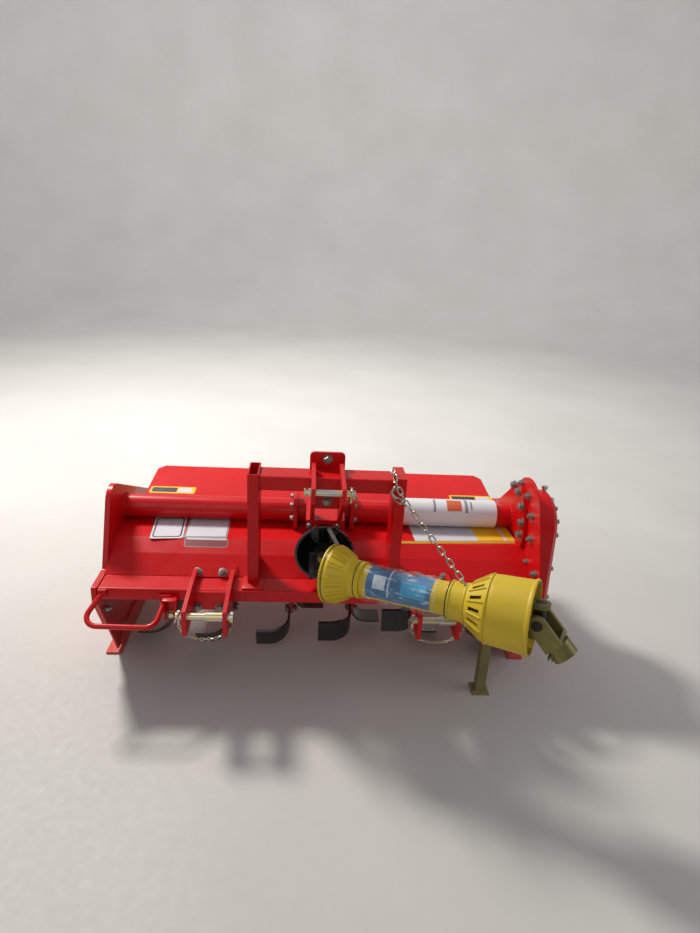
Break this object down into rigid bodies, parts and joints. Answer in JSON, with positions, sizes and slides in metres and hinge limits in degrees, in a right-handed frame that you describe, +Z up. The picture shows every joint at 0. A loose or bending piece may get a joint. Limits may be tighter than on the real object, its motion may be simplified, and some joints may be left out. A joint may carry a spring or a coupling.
{
  "type": "rotary tiller for a three-point hitch",
  "caption": "Rotary tiller: bladed rotor under a folded hood between side plates on skids, hitch mast, gearbox, side drive case and guarded drive shaft.",
  "frame": {"origin": "centre of the part's bounding box, on the ground under the skids", "axes": "+Z up, +X to the right of someone who faces the hitch from the front, +Y to the rear, towards the tailboard"},
  "size_m": [1.524, 1.1798, 0.763],
  "materials": {
    "bare_shaft": "oiled",
    "black_blades": "satin",
    "black_guard": "matte",
    "chain_steel": "satin",
    "olive_stand": "satin",
    "olive_steel": "satin",
    "paper_sleeve": "matte",
    "red_paint": "gloss",
    "white_rings": "matte",
    "yellow_guard": "satin",
    "zinc_fittings": "satin",
    "zinc_pins": "satin"
  },
  "bodies": {
    "frame": {"breather": "zinc_fittings", "cross_bar": "red_paint", "document_sleeve": "paper_sleeve", "drive_shaft": "olive_steel", "front_bar": "red_paint", "gearbox": "red_paint", "gearbox_stay": "red_paint", "guard_bearings": "white_rings", "guard_collar": "yellow_guard", "guard_tube": "yellow_guard", "hinge_pin": "zinc_fittings", "hold_up_chain": "chain_steel", "hood": "red_paint", "inner_cone": "yellow_guard", "inner_cross": "olive_steel", "inner_yoke": "olive_steel", "input_shaft": "bare_shaft", "left_bearing": "red_paint", "left_guard_hoop": "red_paint", "left_hitch_bracket": "red_paint", "left_hitch_pin": "zinc_pins", "left_side_plate": "red_paint", "left_skid": "red_paint", "left_tube": "red_paint", "left_upright": "red_paint", "linch_pins": "zinc_fittings", "mast_back_plate": "red_paint", "outer_cup": "yellow_guard", "pto_shield": "black_guard", "right_guard_hoop": "red_paint", "right_hitch_bracket": "red_paint", "right_hitch_pin": "zinc_pins", "right_side_plate": "red_paint", "right_skid": "red_paint", "right_tube": "red_paint", "right_upright": "red_paint", "side_drive_case": "red_paint", "stand_screw": "zinc_fittings", "stand_socket": "red_paint", "top_link_bracket": "red_paint", "top_link_pin": "zinc_pins"},
    "rotor": {"rotor": "black_blades"},
    "tailboard_flap": {"tailboard": "red_paint"},
    "parking_stand": {"stand_leg": "olive_stand"},
    "joint_cross": {"outer_cross": "olive_steel"},
    "tractor_yoke": {"outer_yoke": "olive_steel", "tractor_hub": "olive_steel"}
  },
  "joints": [
    {"name": "rotor_spin", "type": "hinge", "parent": "frame", "child": "rotor", "pos_m": [-0.0363, 0.114, 0.204], "axis": [1, 0, 0], "continuous": true},
    {"name": "tailboard_hinge", "type": "hinge", "parent": "frame", "child": "tailboard_flap", "pos_m": [-0.0363, 0.341, 0.434], "axis": [1, 0, 0], "range_deg": [-85, 0]},
    {"name": "stand_slide", "type": "slide", "parent": "frame", "child": "parking_stand", "axis": [0, 0, 1], "range_m": [0, 0.22]},
    {"name": "cross_swing", "type": "hinge", "parent": "frame", "child": "joint_cross", "pos_m": [0.49824, -0.50953, 0.5155], "axis": [0, -0.1728, -0.985], "range_deg": [-22, 22]},
    {"name": "yoke_swing", "type": "hinge", "parent": "joint_cross", "child": "tractor_yoke", "pos_m": [0.49824, -0.50953, 0.5155], "axis": [0.487, 0.8603, -0.1509], "range_deg": [-96, 0]}
  ]
}
